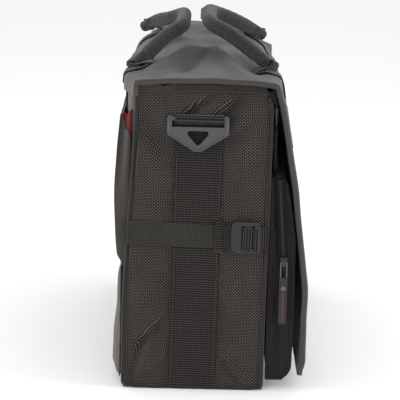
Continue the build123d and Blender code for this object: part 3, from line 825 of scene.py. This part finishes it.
zip_tape = woven("zip_tape_polyester", "242424", "101010", 1.1, turn=45, source="UV", roughness=0.85, depth=0.3)
coil = plain("nylon_coil_teeth", "3c3c3e", 0.35)
TOOTH = {"Pitch": 1.8, "Long": 1.0, "Wide": 1.9, "High": 1.2}
tooth_rows = bead_tree("zip_teeth", "tooth")
zip_up = Vector((0, 7.4, 96)).normalized()
near_path = [Vector((-196.4, -94, 132)) + zip_up * (96.3 * k / 24) - Vector((0, 0, 0.2)) for k in range(25)]
turn_path = [Vector((-195.4, -86.5, 228.9)), Vector((-193, -86.5, 229.6))]
top_path = [Vector((x, -86.5, 229.7)) for x in range(-188, 196, 8)]
tape_side = sweep("pocket_tape_side", near_path, lambda i: band(9, 1.0, 6), Y_AXIS, zip_tape)
tape_top = sweep("pocket_tape_top", [turn_path[1]] + top_path, lambda i: band(9, 1.0, 6), Y_AXIS, zip_tape)
teeth_lines = []
for shift in (-0.75, 0.75):
    teeth_lines.append([(-197.2, p.y + shift, p.z + shift * 0.9) for p in near_path])
side_teeth = beads("pocket_teeth_side", teeth_lines, tooth_rows, coil, (-1, 0, 0), **TOOTH)
top_teeth = beads(
    "pocket_teeth_top", [[(p.x + s, p.y + s, p.z + 0.8) for p in top_path] for s in (-0.75, 0.75)],
    tooth_rows, coil, (0, 0, 1), **TOOTH,
)
for piece in (tape_side, tape_top):
    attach(piece, "bag_body")
for piece in (side_teeth, top_teeth):
    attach(piece, "bag_body")
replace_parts(tape_side, "pocket_zip_tape")
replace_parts(side_teeth, "pocket_zip_coil")

slider_metal = mottled("painted_zinc_slider", "1c1c1d", "333335", 500.0, 3.0, 0.4)
steel_wire = plain("bright_steel_wire", "666668", 0.38, Metallic=1.0)
pull_rubber = mottled("moulded_rubber", "161515", "272525", 800.0, 2.0, 0.6)
for part in ("pocket", "upper"):
    dress(f"{part}_slider", slider_metal)
    dress(f"{part}_pull_bail", steel_wire)
    dress(f"{part}_pull_tab", pull_rubber)
    dress(f"{part}_pull_rivet", steel_wire)

red_line = plain("red_moulded_line", "6f2720", 0.5)
low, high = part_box("pocket_pull_tab")
mid_y = (low.y + high.y) / 2 / MM
stripe_path = [Vector((low.x / MM - 0.15, mid_y, z)) for z in range(77, 108, 3)]
stripe = sweep("pull_red_line", stripe_path, lambda i: band(1.3, 0.6, 4), Y_AXIS, red_line)
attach(stripe, "pocket_zip_pull")

# ---------------------------------------------------------------- Upper zip
# The same zip lies flat across the front panel, under the flap.

path = [Vector((x, -78.0, 299)) for x in range(-180, 181, 8)]
tape = sweep("upper_tape", path, lambda i: band(16, 1.0, 6), Z_AXIS, zip_tape)
lines = [[(x + s, -78.8, 299 + s) for x in range(-176, 177, 8)] for s in (-0.75, 0.75)]
teeth = beads("upper_teeth", lines, tooth_rows, coil, (0, -1, 0), **TOOTH)
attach(tape, "bag_body")
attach(teeth, "bag_body")
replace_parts(tape, "upper_zip_tape")
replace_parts(teeth, "upper_zip_coil")
low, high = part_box("upper_pull_tab")
mid_x = (low.x + high.x) / 2 / MM
stripe_path = [Vector((mid_x, low.y / MM - 0.15, z)) for z in range(235, 266, 3)]
stripe = sweep("upper_pull_red_line", stripe_path, lambda i: band(1.3, 0.6, 4), X_AXIS, red_line)
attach(stripe, "upper_zip_pull")

# ---------------------------------------------------------------- Hook and loop closure
# Two pairs of hook-and-loop patches hold the flap down: loop pile on the pocket, hooks on the flap.


def pile_patch(name, y, thickness, body, cad, grain_scale, colours):
    material, tree = new_material(f"{name}_pile")
    pile = node(tree, "ShaderNodeTexVoronoi", {"Scale": grain_scale})
    bump = node(tree, "ShaderNodeBump", {"Height": pile.outputs["Distance"], "Strength": 1.0, "Distance": 0.001})
    finish_material(tree, node(tree, "ShaderNodeBsdfPrincipled", {
        "Base Color": mix(tree, pile.outputs["Distance"], *colours), "Roughness": 0.95, "Normal": bump.outputs[0],
        "Sheen Weight": 0.3}))
    for label, centre in (("near", -80), ("far", 80)):
        path = [Vector((x, y, 57.5)) for x in range(centre - 30, centre + 31, 4)]
        patch = sweep(f"{name}_{label}", path, lambda i: band(25, thickness, 8, 0.5), Z_AXIS, material)
        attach(patch, body)
        if label == "near":
            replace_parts(patch, cad)


pile_patch("loop_patch", -106.6, 1.6, "bag_body", "pocket_loop_pads", 900.0, ("1a1a1a", "2c2c2c"))
pile_patch("hook_patch", -109.1, 1.6, "flap_front", "flap_hook_pads", 600.0, ("121212", "2a2a2a"))

# ---------------------------------------------------------------- Back slip pocket
# An open pocket of the coated cloth, lined in red, stands off the back panel; its sides gape where the mouth slants down.


def slip_sheet(inset, lift, thickness):
    """The pocket's wall as a slab: near side, back, far side."""
    places = [(-200, k / 8) for k in range(9)]
    places += [(-192 + 384 * k / 48, 1) for k in range(49)]
    places += [(200, 1 - k / 8) for k in range(9)]
    rows = []
    for j in range(41):
        share = j / 40
        row = []
        for x, out in places:
            side = abs(x) > 197
            zigzag = 2.4 * math.sin(out * 9) + 1.4 * math.sin(out * 23)
            cut = (298 - 3 * out if inset else 256 + 39 * out ** 0.55) + zigzag
            top = cut if side else 295 + lift - 5 * math.cos(x * 0.016) ** 2 + 1.2 * math.sin(x * 0.05)
            z = 137 + (top - 137) * share
            rise = min(1.0, max(0.0, (z - 137) / 158))
            belly = 4.0 + 5.0 * math.sin(math.pi * rise ** 0.75) + 1.2 * wander(x * 0.016, z * 0.02, 21)
            deep = max(0.4, belly * smooth(134, 146, z) - (inset if out > 0.9 else 0))
            pleat = 2.2 * math.sin(out * math.pi * 2) * smooth(200, 262, z) if side else 0
            inner_y = half_depth(x, z) - 0.6 if side else 77
            wall_x = math.copysign(abs(x) - (inset if side else 0) + pleat, x)
            row.append(Vector((wall_x, inner_y + (77 + deep - inner_y) * out, z)))
        rows.append(row[::-1])
    return thick_sheet(rows, thickness)


verts, faces, uvs = slip_sheet(0, 0, 2.0)
slip_pocket = build("slip_pocket", verts, faces, coated_nylon, uvs)
verts, faces, uvs = slip_sheet(2.4, 2.4, 0.8)
red_sheet = woven("red_nylon_pocket", "842b29", "561717", 1.2, turn=0, source="UV", roughness=0.5,
                  sheen=0.2, depth=0.15, patch=0.12)
slip_lining = build("slip_pocket_lining", verts, faces, red_sheet, uvs)
for piece, slot_name, cad in ((slip_pocket, "flap_fabric", "back_pocket_panel"),
                              (slip_lining, "red_lining", "back_pocket_lining")):
    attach(piece, "bag_body")
    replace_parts(piece, cad)

# ---------------------------------------------------------------- Lower back pad
# A foam-filled panel along the foot of the back keeps the bag upright; it is sewn down round its edge and puffs between.


def puffed(obj, pressure, limit, frames=18):
    """Cloth simulation under pressure, each point moving at most the limit in metres. With the values used here every
    point reaches the limit, so it only thickens the piece; the plump shape is the one coded below."""
    before = [v.co.copy() for v in obj.data.vertices]
    modifier = obj.modifiers.new("cloth", "CLOTH")
    settings = modifier.settings
    settings.quality = 5
    settings.mass = 0.2
    settings.tension_stiffness = 12
    settings.compression_stiffness = 6
    settings.bending_stiffness = 2.0
    settings.use_pressure = True
    settings.uniform_pressure_force = pressure
    settings.effector_weights.gravity = 0
    modifier.point_cache.frame_start = 1
    modifier.point_cache.frame_end = frames
    for frame_number in range(1, frames + 1):
        bpy.context.scene.frame_set(frame_number)
    graph = bpy.context.evaluated_depsgraph_get()
    after = obj.evaluated_get(graph).to_mesh()
    moved = [v.co.copy() for v in after.vertices]
    obj.modifiers.remove(modifier)
    for vertex, old, new in zip(obj.data.vertices, before, moved):
        step = new - old
        if step.length > limit:
            step = step * (limit / step.length)
        vertex.co = old + step
    bpy.context.scene.frame_set(1)


rows = []
for j in range(27):
    z = 8.5 + 122.0 * j / 26
    row = []
    for i in range(71):
        x = -197.5 + 395.0 * i / 70
        rim = min(1.0, (197.5 - abs(x)) / 9, (z - 8.5) / 9, (130.5 - z) / 11)
        full = math.sin(math.pi / 2 * max(0.0, rim)) ** 0.7
        plump = 1.5 + 6.2 * smooth(112, 32, z) * smooth(-6, 50, 197.5 - abs(x))
        row.append(Vector((x, 78.6 + plump * full + 0.9 * full * wander(x * 0.02, z * 0.04, 31), z)))
    rows.append(row[::-1])
front = [p for row in rows for p in row]
n_cols = 71
faces = []
for r in range(26):
    for c in range(70):
        a = r * n_cols + c
        faces.append((a, a + 1, a + n_cols + 1, a + n_cols))
back = [Vector((p.x, 77.6, p.z)) for p in front]
total = len(front)
faces += [tuple(total + v for v in reversed(f)) for f in faces]
rim_loop = list(range(70)) + [r * n_cols + 70 for r in range(26)]
rim_loop += [26 * n_cols + c for c in range(70, 0, -1)] + [r * n_cols for r in range(26, 0, -1)]
for a, b in zip(rim_loop, rim_loop[1:] + rim_loop[:1]):
    faces.append((a, b, total + b, total + a))
back_pad = build("back_pad", front + back, faces, coated_wrap)
puffed(back_pad, 3.0, 0.0022)
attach(back_pad, "bag_body")
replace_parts(back_pad, "lower_back_pad")

# ---------------------------------------------------------------- Flap
# One long piece of coated nylon over thin foam: hinged along the back rim, domed over the top, folded over the front
# edge and hanging to the hem. It is lined in dark nylon and bound all round with tape.


def flap_profile(x):
    """The outer face's section at one x, from the back seam to the hem."""
    out = []
    droop = smooth(-204, -40, x)
    crown = 1.0 + 13.5 * droop + 3.0 * smooth(20, 170, x) - 5.0 * smooth(175, 206, x)
    narrow = 1 - 0.15 * smooth(-158, -206, x) - 0.09 * smooth(0, 130, x) - 0.09 * smooth(130, 206, x)
    fore = 1 - 0.03 * smooth(-150, -206, x) - 0.115 * smooth(-60, 120, x)
    for y, z in ((79.2, 315), (79.4, 319), (79.4, 323), (79.0, 327.4)):
        out.append((y * narrow, z))
    for k in range(29):
        y = 77.6 - 158.6 * k / 28
        rise = max(0.0, 1 - ((y + 2.0) / 80.5) ** 2)
        z = 330.4 - 3.2 * math.sin(math.pi * (x + 206) / 412) + (crown + 3.0) * rise ** 0.7
        fold = 0.0
        for start, end, width, height in (
            ((-40, 4), (-150, 46), 9, 2.8), ((-60, -6), (-160, 20), 7, -2.0), ((-30, -16), (-170, -44), 9, 2.6),
            ((-60, -32), (-150, -66), 8, -1.8), ((40, 20), (10, 60), 12, 2.2), ((-110, 52), (-190, 50), 6, 1.6),
            ((90, -10), (150, -52), 14, 2.0), ((0, 40), (-80, 70), 9, -1.8),
        ):
            fold += 2.3 * ridge(x, y, start, end, width, height)
        fold += 2.4 * wander(x * 0.02, y * 0.03, 44)
        fold *= smooth(0, 20, 80 - abs(y)) * (0.35 + 0.65 * smooth(-206, -180, x))
        out.append((y * (narrow if y > 0 else fore), z + fold))
    for y, z in ((-83.4, 330.0), (-85.8, 327.6), (-87.6, 323.4)):
        out.append((y * fore, z - 2.2 * math.sin(math.pi * (x + 206) / 412)))
    for k in range(1, 61):
        z = 323.4 - (323.4 - 18) * k / 60
        if z > 100:
            y = -119.5 + 31.9 * ((z - 100) / 223.4) ** 1.25
        else:
            y = -119.5 + 3.5 * smooth(36, 18, z)
        y *= 1 - (1 - fore) * smooth(304, 323, z)
        cling = smooth(174, 203, x) * smooth(222, 262, z)
        y += (-89.0 - y) * cling + 7.5 * smooth(184, 203, x) * smooth(150, 185, z) * (1 - cling)
        sag = 1.5 * math.sin(math.pi * (z - 18) / 310) * math.sin(math.pi * (x + 206) / 412)
        wave = 1.3 * wander(x * 0.011, z * 0.012, 52) + 0.7 * wander(x * 0.03, z * 0.03, 9)
        for start, end, width, height in (((-196, 322), (-150, 250), 10, 1.8), ((-170, 322), (-110, 270), 9, -1.4),
                                          ((-200, 120), (-120, 60), 12, 1.4), ((100, 320), (150, 240), 12, 1.6)):
            wave += ridge(x, z, start, end, width, height)
        out.append((y - sag - wave * smooth(18, 40, z) * smooth(327, 300, z), z))
    return out


flap_cols = [206.0 - 412.0 * i / 88 for i in range(89)]
columns = [[Vector((x, y, z)) for y, z in flap_profile(x)] for x in flap_cols]
flap_rows = [list(row) for row in zip(*columns)]


def slab_points(rows, depth):
    """The same sheet moved inwards by a depth, along its own normals."""
    verts, _, _ = thick_sheet(rows, depth)
    count, n_cols = len(rows) * len(rows[0]), len(rows[0])
    inner = verts[count:]
    return [inner[r * n_cols:(r + 1) * n_cols] for r in range(len(rows))]


def layer(name, outer, inner, start, end, material):
    """A closed slab between two sheets of points, over the rows from start to end."""
    n_cols = len(outer[0])
    verts = [p for r in range(start, end + 1) for p in outer[r]] + [p for r in range(start, end + 1) for p in inner[r]]
    n_rows = end - start + 1
    count = n_rows * n_cols
    faces = []
    for r in range(n_rows - 1):
        for c in range(n_cols - 1):
            a = r * n_cols + c
            faces.append((a, a + 1, a + n_cols + 1, a + n_cols))
            faces.append((count + a + n_cols, count + a + n_cols + 1, count + a + 1, count + a))
    edge = list(range(n_cols)) + [r * n_cols + n_cols - 1 for r in range(1, n_rows)]
    edge += [(n_rows - 1) * n_cols + c for c in range(n_cols - 2, -1, -1)]
    edge += [r * n_cols for r in range(n_rows - 2, 0, -1)]
    for a, b in zip(edge, edge[1:] + edge[:1]):
        faces.append((b, a, count + a, count + b))
    down = [0.0]
    for r in range(1, len(outer)):
        down.append(down[-1] + (outer[r][n_cols // 2] - outer[r - 1][n_cols // 2]).length)
    uvs = [(p.x, down[r]) for r in range(start, end + 1) for p in outer[r]]
    return build(name, verts, faces, material, uvs + uvs)


mid_sheet = slab_points(flap_rows, 4.2)
low_sheet = slab_points(flap_rows, 5.1)
last_back, last_top, last_fold, last = 6, 30, 38, len(flap_rows) - 1
dark_nylon = woven("dark_lining_nylon", "2a2727", "171515", 1.2, turn=0, source="UV", roughness=0.6, depth=0.15)
flap_parts = (("back_seam", 0, last_back), ("top", last_back, last_top), ("fold", last_top, last_fold),
              ("front", last_fold, last))
flap = {}
for part, start, end in flap_parts:
    flap[part] = layer(f"flap_{part}_cloth", flap_rows, mid_sheet, start, end, coated_nylon)
    flap[part + "_lining"] = layer(f"flap_{part}_lining_cloth", mid_sheet, low_sheet, start, end, dark_nylon)


def hem_ring(i):
    """Bound edge: a folded tape standing proud of both faces, rounded over the raw edge."""
    half = [(2.7, 5.0), (3.0, 4.2), (3.0, 0.8), (2.5, -0.9), (1.3, -1.6)]
    return [(w, n, w + n) for w, n in half + [(-w, n) for w, n in reversed(half)]]


def edge_run(start, end, col, inward):
    """Edge points at mid thickness and the way out of the sheet there."""
    path, outs = [], []
    for r in range(start, end + 1):
        path.append((flap_rows[r][col] + low_sheet[r][col]) / 2 + Vector((inward * 0.6, 0, 0)))
        outs.append((flap_rows[r][col] - low_sheet[r][col]).normalized())
    return path, outs


near, far = len(flap_cols) - 1, 0
for part, start, end in flap_parts[:3]:
    for label, col, inward in (("near", near, 1), ("far", far, -1)):
        path, outs = edge_run(start, end, col, inward)
        if label == "far":
            path, outs = path[::-1], outs[::-1]
        flap[f"{part}_hem_{label}"] = sweep(f"flap_{part}_hem_{label}", path, hem_ring, outs, coated_nylon)
down_path, down_outs = edge_run(last_fold, last - 2, near, 1)
up_path, up_outs = edge_run(last_fold, last - 2, far, -1)
hem_path = [(flap_rows[last][c] + low_sheet[last][c]) / 2 + Vector((0, 0, 0.6)) for c in range(near - 2, 1, -1)]
hem_outs = [(flap_rows[last][c] - low_sheet[last][c]).normalized() for c in range(near - 2, 1, -1)]
flap["front_hem"] = sweep("flap_front_hem", down_path + hem_path + up_path[::-1], hem_ring,
                          down_outs + hem_outs + up_outs[::-1], coated_nylon)

# The back seam and the fold stay where they are built; the top pieces ride on flap_top and the front pieces on
# flap_front.
for key, piece in flap.items():
    if key.startswith("back_seam"):
        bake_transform(piece)
    elif key.startswith("top"):
        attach(piece, "flap_top")
    elif key.startswith("fold"):
        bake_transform(piece)
    else:
        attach(piece, "flap_front")
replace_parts(flap["top"], "flap_top")
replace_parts(flap["top_lining"], "flap_top_lining")
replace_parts(flap["top_hem_near"], "flap_top_bindings")
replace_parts(flap["front"], "flap_front")
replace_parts(flap["front_lining"], "flap_front_lining")
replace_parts(flap["front_hem"], "flap_front_binding")

# ---------------------------------------------------------------- Stitching on the flap and back pocket
# One row of lockstitch holds the edge tape; another closes the pocket's mouth.

edge_seams = {"flap_top": [], "flap_front": []}
for part, start, end in (("flap_top", last_back, last_top), ("flap_front", last_fold, last - 1)):
    for col in (near, far):
        step = 1 if col == far else -1
        seam = [flap_rows[r][col + step].lerp(flap_rows[r][col + 2 * step], 0.4) for r in range(start, end + 1)]
        outs = [(flap_rows[r][col + step] - mid_sheet[r][col + step]).normalized() for r in range(start, end + 1)]
        edge_seams[part].append([p + o * 0.25 for p, o in zip(seam, outs)])
edge_seams["flap_front"].append([flap_rows[last - 1][c] + Vector((0, -0.3, 0)) for c in range(near - 1, 0, -1)])
for part, facing in (("flap_top", (0, 0, 1)), ("flap_front", (0, -1, 0))):
    seam = beads(f"{part}_stitches", edge_seams[part], thread_rows, thread, facing, **STITCH)
    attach(seam, part)
mouth = []
for k in range(49):
    x = -192 + 384 * k / 48
    rise = 1 - 5.0 / 158
    deep = 4.0 + 5.0 * math.sin(math.pi * rise ** 0.75) + 1.2 * wander(x * 0.016, 288 * 0.02, 21)
    mouth.append((x, 77.3 + deep, 287.0 - 5 * math.cos(x * 0.016) ** 2 + 1.2 * math.sin(x * 0.05)))
seam = beads("pocket_mouth_stitches", [mouth], thread_rows, thread, (0, 1, 0), **STITCH)
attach(seam, "bag_body")

# ---------------------------------------------------------------- Carry handles
# Two rolled handles: a foam cord inside a tube of ribbed webbing with its seam turned out along the underside. Each foot
# is folded flat and sewn to a 30 mm webbing leg that runs down the bag.

handle_web = woven("handle_webbing", "35322f", "0a0909", (1.9, 2.4), turn=58, twill=0.5, source="UV",
                   roughness=0.8, sheen=0.2, depth=0.9, patch=0.16)


def handle_path(pivot_y, pivot_z, side, sags, settle):
    """The tube's centre line: foot, bend, grip, bend, foot, in a plane leaning inwards. The feet sag, and
    the grip settles."""
    centre_u, centre_v = -62 + 40 * math.tan(math.radians(22.5)), 40
    half = [(-130 + 1.2 * k, 12 + 1.2 * k) for k in range(48)]
    turns = [math.radians(135 - 5 * k) for k in range(10)]
    half += [(centre_u + 40 * math.cos(a), centre_v + 40 * math.sin(a)) for a in turns]
    half = [p for p in half if p[0] < centre_u + 0.1] + [(u, 80) for u in range(-42, 1, 3)]
    out = []
    for u, v in half + [(-u, v) for u, v in reversed(half[:-1])]:
        wobble = 0.5 * wander(u * 0.04, v * 0.04, side * 5)
        inward, down = sags[0 if u < 0 else 1]
        slump = 1 - smooth(12, 66, v)
        y = pivot_y - side * (v * math.cos(LEAN_IN) + inward * slump)
        top = smooth(20, 78, v)
        z = pivot_z + v * math.sin(LEAN_IN) + wobble - down * slump + settle[1] * top
        out.append(Vector((u, y + settle[0] * top, z)))
    return out


def handle_section(path):
    runs = [0.0]
    for a, b in zip(path, path[1:]):
        runs.append(runs[-1] + (b - a).length)

    def ring(i):
        foot = min(runs[i], runs[-1] - runs[i])
        pressed = 1 - smooth(0, 26, foot)
        points = []
        for k in range(28):
            a = 2 * math.pi * k / 28
            crease = 0.12 * math.sin(runs[i] * 0.55 + 3 * math.sin(a)) * smooth(0, 30, foot)
            radius = 8.1 + crease + 2.6 * math.exp(-(((a - 4.9) / 0.16) ** 2)) * smooth(6, 24, foot)
            w, n = radius * math.cos(a), radius * math.sin(a)
            square = max(abs(w), abs(n))
            boxed = radius / max(square, 1e-6) * 0.94
            w, n = w * (1 + (boxed - 1) * pressed * 0.75), n * (1 + (boxed - 1) * pressed * 0.75)
            points.append((w * (1 - 0.34 * pressed), n * (1 + 0.18 * pressed), 51 * k / 28))
        return points
    return ring


def along_flap(x, start, end, lift):
    """Points on the flap at one x over the rows from start to end, lifted off it."""
    col = min(range(len(flap_cols)), key=lambda c: abs(flap_cols[c] - x))
    path = []
    for r in range(start, end + 1):
        out = (flap_rows[r][col] - mid_sheet[r][col]).normalized()
        path.append(Vector((x, flap_rows[r][col].y, flap_rows[r][col].z)) + out * lift)
    return path


LEG_X = 130
LEAN_IN = math.radians(28)


def flat_web(i):
    return band(30, 1.7, 8)


for label, pivot_y, pivot_z, side, sags, settle in (
    ("back", 85, 341, 1, ((5, 9), (9, -3)), (5.5, -7.0)), ("front", -86, 342, -1, ((0, 9), (5, 5)), (6.0, -3.5)),
):
    line = handle_path(pivot_y, pivot_z, side, sags, settle)
    plane = Vector((0, -side * math.sin(LEAN_IN), -math.cos(LEAN_IN)))
    grip = sweep(f"{label}_handle_tube", line, handle_section(line), plane, handle_web, period=51)
    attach(grip, f"{label}_handle")
    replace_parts(grip, f"{label}_handle_grip", f"{label}_handle_core")
    for sign, end in ((-1, "near"), (1, "far")):
        foot, inner = (line[0], line[12]) if sign < 0 else (line[-1], line[-13])
        way = (inner - foot).normalized()
        tab_path = [foot - way * 3.0, foot, foot + way * 4, foot + way * 9, foot + way * 13]
        tab = sweep(f"{label}_handle_tab_{end}", tab_path, lambda i: band(19.5 - 0.6 * i, 12.2 + 0.6 * i, 6, 0.5),
                    plane.cross(way), handle_web)
        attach(tab, f"{label}_handle")
        # The strip between the flap and the foot, built where it lies.
        seat_row = last_back + 3 if side > 0 else last_top - 2
        if side > 0:
            leg = along_flap(LEG_X * sign, 1, seat_row, 1.3)
            seat = leg[-1]
            low_path = [Vector((sign * LEG_X, half_depth(LEG_X, z) + 0.7, z)) for z in range(258, 319, 4)]
            low = sweep(f"back_leg_low_{end}", low_path, flat_web, X_AXIS, webbing)
            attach(low, "bag_body")
            over = sweep(f"back_leg_over_{end}", leg, flat_web, X_AXIS, webbing)
            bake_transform(over)
        else:
            leg = along_flap(LEG_X * sign, seat_row, last_fold + 1, 1.3)
            seat = leg[0]
            over = sweep(f"front_leg_over_{end}", leg, flat_web, X_AXIS, webbing)
            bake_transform(over)
            leg = along_flap(LEG_X * sign, last_fold + 1, last, 1.3)
            low = sweep(f"front_leg_low_{end}", [p for p in leg if p.z > 252], flat_web, X_AXIS, webbing)
            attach(low, "flap_front")
        middle = (seat + foot) / 2 + Vector((0, 0, 1.0))
        strip_path = eased([seat + Vector((0, side * 5, -0.5)), seat, middle, foot - way * 1.0, foot + way * 5])
        strip = sweep(f"{label}_handle_strip_{end}", strip_path, lambda i: band(30 - 0.5 * i, 2.0, 8), X_AXIS, webbing)
        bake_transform(strip)
        if sign < 0:
            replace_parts(tab, f"{label}_handle_tabs")
            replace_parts(strip, f"{label}_handle_folds")
            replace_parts(low, f"{label}_handle_legs")
